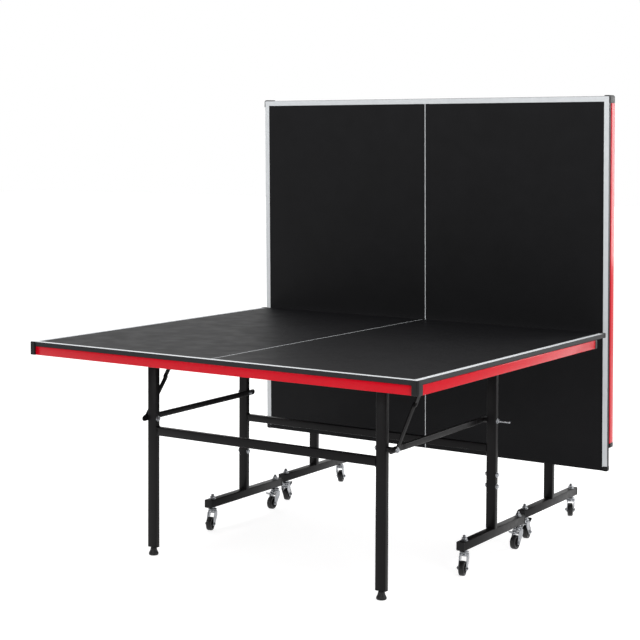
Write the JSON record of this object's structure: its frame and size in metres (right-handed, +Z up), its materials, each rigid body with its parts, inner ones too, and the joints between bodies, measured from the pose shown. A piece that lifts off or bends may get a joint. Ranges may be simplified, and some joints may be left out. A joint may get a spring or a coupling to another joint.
{
  "type": "table tennis table",
  "caption": "Folding table-tennis table on braked casters: one half down for play, the other folded upright behind it as a rebound wall.",
  "frame": {"origin": "on the floor, under the middle of the bounding box of the whole table as it stands", "axes": "+Y along the length, from the lowered half to the folded half; +X along the net line; +Z up"},
  "size_m": [1.532, 1.6794, 1.6234],
  "materials": {
    "board": "satin charcoal lacquer on board, with white playing lines",
    "red_steel": "semi-gloss red powder coat",
    "black_steel": "satin black powder coat",
    "black_plastic": "moulded black plastic, fine grain",
    "zinc_steel": "bright zinc plate on pressed steel",
    "black_tyre": "satin black moulded tread"
  },
  "bodies": {
    "front_carriage": {"front_post_frame": "black_steel", "front_left_foot_bar": "black_steel", "front_right_foot_bar": "black_steel"},
    "front_top": {"front_board": "board", "front_end_rail": "red_steel", "front_left_side_rail": "red_steel", "front_left_corner_cap": "black_plastic", "front_left_hinge_rail": "black_steel", "front_right_side_rail": "red_steel", "front_right_corner_cap": "black_plastic", "front_right_hinge_rail": "black_steel"},
    "front_legs": {"front_leg_frame": "black_steel"},
    "front_left_link": {"front_left_link": "black_steel"},
    "front_left_lower_stay": {"front_left_lower_stay": "black_steel"},
    "front_left_upper_stay": {"front_left_upper_stay": "black_steel"},
    "front_left_foot": {"front_left_levelling_foot": "black_plastic"},
    "front_left_end_caster": {"front_left_end_caster_fork": "zinc_steel"},
    "front_left_end_wheel": {"front_left_end_caster_wheel": "black_tyre"},
    "front_left_net_caster": {"front_left_net_caster_fork": "zinc_steel"},
    "front_left_net_wheel": {"front_left_net_caster_wheel": "black_tyre"},
    "front_left_net_brake": {"front_left_net_brake_lever": "zinc_steel"},
    "front_right_link": {"front_right_link": "black_steel"},
    "front_right_lower_stay": {"front_right_lower_stay": "black_steel"},
    "front_right_upper_stay": {"front_right_upper_stay": "black_steel"},
    "front_right_foot": {"front_right_levelling_foot": "black_plastic"},
    "front_right_end_caster": {"front_right_end_caster_fork": "zinc_steel"},
    "front_right_end_wheel": {"front_right_end_caster_wheel": "black_tyre"},
    "front_right_net_caster": {"front_right_net_caster_fork": "zinc_steel"},
    "front_right_net_wheel": {"front_right_net_caster_wheel": "black_tyre"},
    "front_right_net_brake": {"front_right_net_brake_lever": "zinc_steel"},
    "rear_carriage": {"rear_post_frame": "black_steel", "rear_left_foot_bar": "black_steel", "rear_right_foot_bar": "black_steel"},
    "rear_top": {"rear_board": "board", "rear_end_rail": "red_steel", "rear_left_side_rail": "red_steel", "rear_left_corner_cap": "black_plastic", "rear_left_hinge_rail": "black_steel", "rear_right_side_rail": "red_steel", "rear_right_corner_cap": "black_plastic", "rear_right_hinge_rail": "black_steel"},
    "rear_legs": {"rear_leg_frame": "black_steel"},
    "rear_left_link": {"rear_left_link": "black_steel"},
    "rear_left_lower_stay": {"rear_left_lower_stay": "black_steel"},
    "rear_left_upper_stay": {"rear_left_upper_stay": "black_steel"},
    "rear_left_foot": {"rear_left_levelling_foot": "black_plastic"},
    "rear_left_end_caster": {"rear_left_end_caster_fork": "zinc_steel"},
    "rear_left_end_wheel": {"rear_left_end_caster_wheel": "black_tyre"},
    "rear_left_net_caster": {"rear_left_net_caster_fork": "zinc_steel"},
    "rear_left_net_wheel": {"rear_left_net_caster_wheel": "black_tyre"},
    "rear_left_net_brake": {"rear_left_net_brake_lever": "zinc_steel"},
    "rear_right_link": {"rear_right_link": "black_steel"},
    "rear_right_lower_stay": {"rear_right_lower_stay": "black_steel"},
    "rear_right_upper_stay": {"rear_right_upper_stay": "black_steel"},
    "rear_right_foot": {"rear_right_levelling_foot": "black_plastic"},
    "rear_right_end_caster": {"rear_right_end_caster_fork": "zinc_steel"},
    "rear_right_end_wheel": {"rear_right_end_caster_wheel": "black_tyre"},
    "rear_right_net_caster": {"rear_right_net_caster_fork": "zinc_steel"},
    "rear_right_net_wheel": {"rear_right_net_caster_wheel": "black_tyre"},
    "rear_right_net_brake": {"rear_right_net_brake_lever": "zinc_steel"}
  },
  "joints": [
    {"name": "front_fold", "type": "hinge", "parent": "front_carriage", "child": "front_top", "pos_m": [0, 0.06379, 0.72], "axis": [-1, 0, 0], "range_deg": [0, 91]},
    {"name": "front_leg_swing", "type": "hinge", "parent": "front_top", "child": "front_legs", "pos_m": [0, -0.53821, 0.713], "axis": [-1, 0, 0], "range_deg": [-91.05, 0]},
    {"name": "front_left_link_swing", "type": "hinge", "parent": "front_carriage", "child": "front_left_link", "pos_m": [-0.5, 0.06379, 0.489], "axis": [-1, 0, 0], "range_deg": [0, 91.05]},
    {"name": "front_left_lower_stay_swing", "type": "hinge", "parent": "front_legs", "child": "front_left_lower_stay", "pos_m": [-0.51, -0.53821, 0.482], "axis": [-1, 0, 0], "range_deg": [-45.62, 0]},
    {"name": "front_left_upper_stay_swing", "type": "hinge", "parent": "front_top", "child": "front_left_upper_stay", "pos_m": [-0.515, -0.34321, 0.713], "axis": [-1, 0, 0], "range_deg": [0, 43.48]},
    {"name": "front_left_foot_height", "type": "slide", "parent": "front_legs", "child": "front_left_foot", "axis": [0, 0, -1], "range_m": [0, 0.012]},
    {"name": "front_left_end_swivel", "type": "hinge", "parent": "front_carriage", "child": "front_left_end_caster", "pos_m": [-0.5165, -0.13521, 0.084], "axis": [0, 0, 1], "continuous": true},
    {"name": "front_left_end_roll", "type": "hinge", "parent": "front_left_end_caster", "child": "front_left_end_wheel", "pos_m": [-0.51007, -0.15625, 0.025], "axis": [0.9563, 0.2924, 0], "continuous": true},
    {"name": "front_left_net_swivel", "type": "hinge", "parent": "front_carriage", "child": "front_left_net_caster", "pos_m": [-0.5165, 0.27079, 0.084], "axis": [0, 0, 1], "continuous": true},
    {"name": "front_left_net_roll", "type": "hinge", "parent": "front_left_net_caster", "child": "front_left_net_wheel", "pos_m": [-0.51535, 0.24882, 0.025], "axis": [0.9986, 0.0523, 0], "continuous": true},
    {"name": "front_left_net_brake_press", "type": "hinge", "parent": "front_left_net_caster", "child": "front_left_net_brake", "pos_m": [-0.51629, 0.2668, 0.056], "axis": [0.9986, 0.0523, 0], "range_deg": [0, 12]},
    {"name": "front_right_link_swing", "type": "hinge", "parent": "front_carriage", "child": "front_right_link", "pos_m": [0.5, 0.06379, 0.489], "axis": [-1, 0, 0], "range_deg": [0, 91.05]},
    {"name": "front_right_lower_stay_swing", "type": "hinge", "parent": "front_legs", "child": "front_right_lower_stay", "pos_m": [0.51, -0.53821, 0.482], "axis": [-1, 0, 0], "range_deg": [-45.62, 0]},
    {"name": "front_right_upper_stay_swing", "type": "hinge", "parent": "front_top", "child": "front_right_upper_stay", "pos_m": [0.515, -0.34321, 0.713], "axis": [-1, 0, 0], "range_deg": [0, 43.48]},
    {"name": "front_right_foot_height", "type": "slide", "parent": "front_legs", "child": "front_right_foot", "axis": [0, 0, -1], "range_m": [0, 0.012]},
    {"name": "front_right_end_swivel", "type": "hinge", "parent": "front_carriage", "child": "front_right_end_caster", "pos_m": [0.5465, -0.13521, 0.084], "axis": [0, 0, 1], "continuous": true},
    {"name": "front_right_end_roll", "type": "hinge", "parent": "front_right_end_caster", "child": "front_right_end_wheel", "pos_m": [0.55182, -0.15655, 0.025], "axis": [0.9703, 0.2419, 0], "continuous": true},
    {"name": "front_right_net_swivel", "type": "hinge", "parent": "front_carriage", "child": "front_right_net_caster", "pos_m": [0.5465, 0.27079, 0.084], "axis": [0, 0, 1], "continuous": true},
    {"name": "front_right_net_roll", "type": "hinge", "parent": "front_right_net_caster", "child": "front_right_net_wheel", "pos_m": [0.5465, 0.24879, 0.025], "axis": [1, 0, 0], "continuous": true},
    {"name": "front_right_net_brake_press", "type": "hinge", "parent": "front_right_net_caster", "child": "front_right_net_brake", "pos_m": [0.5465, 0.26679, 0.056], "axis": [1, 0, 0], "range_deg": [0, 12]},
    {"name": "rear_roll", "type": "slide", "parent": "front_carriage", "child": "rear_carriage", "axis": [0, 1, 0], "range_m": [0, 0.4452]},
    {"name": "rear_fold", "type": "hinge", "parent": "rear_carriage", "child": "rear_top", "pos_m": [0, 0.59449, 0.72], "axis": [-1, 0, 0], "range_deg": [0, 91]},
    {"name": "rear_leg_swing", "type": "hinge", "parent": "rear_top", "child": "rear_legs", "pos_m": [0, 0.59098, 1.32203], "axis": [-1, 0, 0], "range_deg": [-91.05, 0]},
    {"name": "rear_left_link_swing", "type": "hinge", "parent": "rear_carriage", "child": "rear_left_link", "pos_m": [0.5, 0.59449, 0.489], "axis": [-1, 0, 0], "range_deg": [0, 91.05]},
    {"name": "rear_left_lower_stay_swing", "type": "hinge", "parent": "rear_legs", "child": "rear_left_lower_stay", "pos_m": [0.51, 0.59098, 1.09103], "axis": [-1, 0, 0], "range_deg": [-45.62, 0]},
    {"name": "rear_left_upper_stay_swing", "type": "hinge", "parent": "rear_top", "child": "rear_left_upper_stay", "pos_m": [0.515, 0.59439, 1.12706], "axis": [-1, 0, 0], "range_deg": [0, 43.48]},
    {"name": "rear_left_foot_height", "type": "slide", "parent": "rear_legs", "child": "rear_left_foot", "axis": [0, 0, -1], "range_m": [0, 0.012]},
    {"name": "rear_left_end_swivel", "type": "hinge", "parent": "rear_carriage", "child": "rear_left_end_caster", "pos_m": [0.5165, 0.79349, 0.084], "axis": [0, 0, 1], "continuous": true},
    {"name": "rear_left_end_roll", "type": "hinge", "parent": "rear_left_end_caster", "child": "rear_left_end_wheel", "pos_m": [0.50617, 0.81292, 0.025], "axis": [-0.8829, -0.4695, 0], "continuous": true},
    {"name": "rear_left_net_swivel", "type": "hinge", "parent": "rear_carriage", "child": "rear_left_net_caster", "pos_m": [0.5165, 0.38749, 0.084], "axis": [0, 0, 1], "continuous": true},
    {"name": "rear_left_net_roll", "type": "hinge", "parent": "rear_left_net_caster", "child": "rear_left_net_wheel", "pos_m": [0.51382, 0.40933, 0.025], "axis": [-0.9925, -0.1219, 0], "continuous": true},
    {"name": "rear_left_net_brake_press", "type": "hinge", "parent": "rear_left_net_caster", "child": "rear_left_net_brake", "pos_m": [0.51601, 0.39146, 0.056], "axis": [-0.9925, -0.1219, 0], "range_deg": [0, 12]},
    {"name": "rear_right_link_swing", "type": "hinge", "parent": "rear_carriage", "child": "rear_right_link", "pos_m": [-0.5, 0.59449, 0.489], "axis": [-1, 0, 0], "range_deg": [0, 91.05]},
    {"name": "rear_right_lower_stay_swing", "type": "hinge", "parent": "rear_legs", "child": "rear_right_lower_stay", "pos_m": [-0.51, 0.59098, 1.09103], "axis": [-1, 0, 0], "range_deg": [-45.62, 0]},
    {"name": "rear_right_upper_stay_swing", "type": "hinge", "parent": "rear_top", "child": "rear_right_upper_stay", "pos_m": [-0.515, 0.59439, 1.12706], "axis": [-1, 0, 0], "range_deg": [0, 43.48]},
    {"name": "rear_right_foot_height", "type": "slide", "parent": "rear_legs", "child": "rear_right_foot", "axis": [0, 0, -1], "range_m": [0, 0.012]},
    {"name": "rear_right_end_swivel", "type": "hinge", "parent": "rear_carriage", "child": "rear_right_end_caster", "pos_m": [-0.5465, 0.79349, 0.084], "axis": [0, 0, 1], "continuous": true},
    {"name": "rear_right_end_roll", "type": "hinge", "parent": "rear_right_end_caster", "child": "rear_right_end_wheel", "pos_m": [-0.55402, 0.81416, 0.025], "axis": [-0.9397, -0.342, 0], "continuous": true},
    {"name": "rear_right_net_swivel", "type": "hinge", "parent": "rear_carriage", "child": "rear_right_net_caster", "pos_m": [-0.5465, 0.38749, 0.084], "axis": [0, 0, 1], "continuous": true},
    {"name": "rear_right_net_roll", "type": "hinge", "parent": "rear_right_net_caster", "child": "rear_right_net_wheel", "pos_m": [-0.55219, 0.40874, 0.025], "axis": [-0.9659, -0.2588, 0], "continuous": true},
    {"name": "rear_right_net_brake_press", "type": "hinge", "parent": "rear_right_net_caster", "child": "rear_right_net_brake", "pos_m": [-0.54753, 0.39136, 0.056], "axis": [-0.9659, -0.2588, 0], "range_deg": [0, 12]}
  ],
  "couplings": [
    {"joint": "front_leg_swing", "follows": "front_fold", "ratio": -1},
    {"joint": "front_left_link_swing", "follows": "front_fold", "ratio": 1},
    {"joint": "front_left_lower_stay_swing", "follows": "front_fold", "ratio": -0.50072},
    {"joint": "front_left_upper_stay_swing", "follows": "front_fold", "ratio": 0.4773},
    {"joint": "front_right_link_swing", "follows": "front_fold", "ratio": 1},
    {"joint": "front_right_lower_stay_swing", "follows": "front_fold", "ratio": -0.50072},
    {"joint": "front_right_upper_stay_swing", "follows": "front_fold", "ratio": 0.4773},
    {"joint": "rear_roll", "follows": "rear_fold", "m_per_rad": 0.28018},
    {"joint": "rear_leg_swing", "follows": "rear_fold", "ratio": -1},
    {"joint": "rear_left_link_swing", "follows": "rear_fold", "ratio": 1},
    {"joint": "rear_left_lower_stay_swing", "follows": "rear_fold", "ratio": -0.50072},
    {"joint": "rear_left_upper_stay_swing", "follows": "rear_fold", "ratio": 0.4773},
    {"joint": "rear_right_link_swing", "follows": "rear_fold", "ratio": 1},
    {"joint": "rear_right_lower_stay_swing", "follows": "rear_fold", "ratio": -0.50072},
    {"joint": "rear_right_upper_stay_swing", "follows": "rear_fold", "ratio": 0.4773}
  ]
}
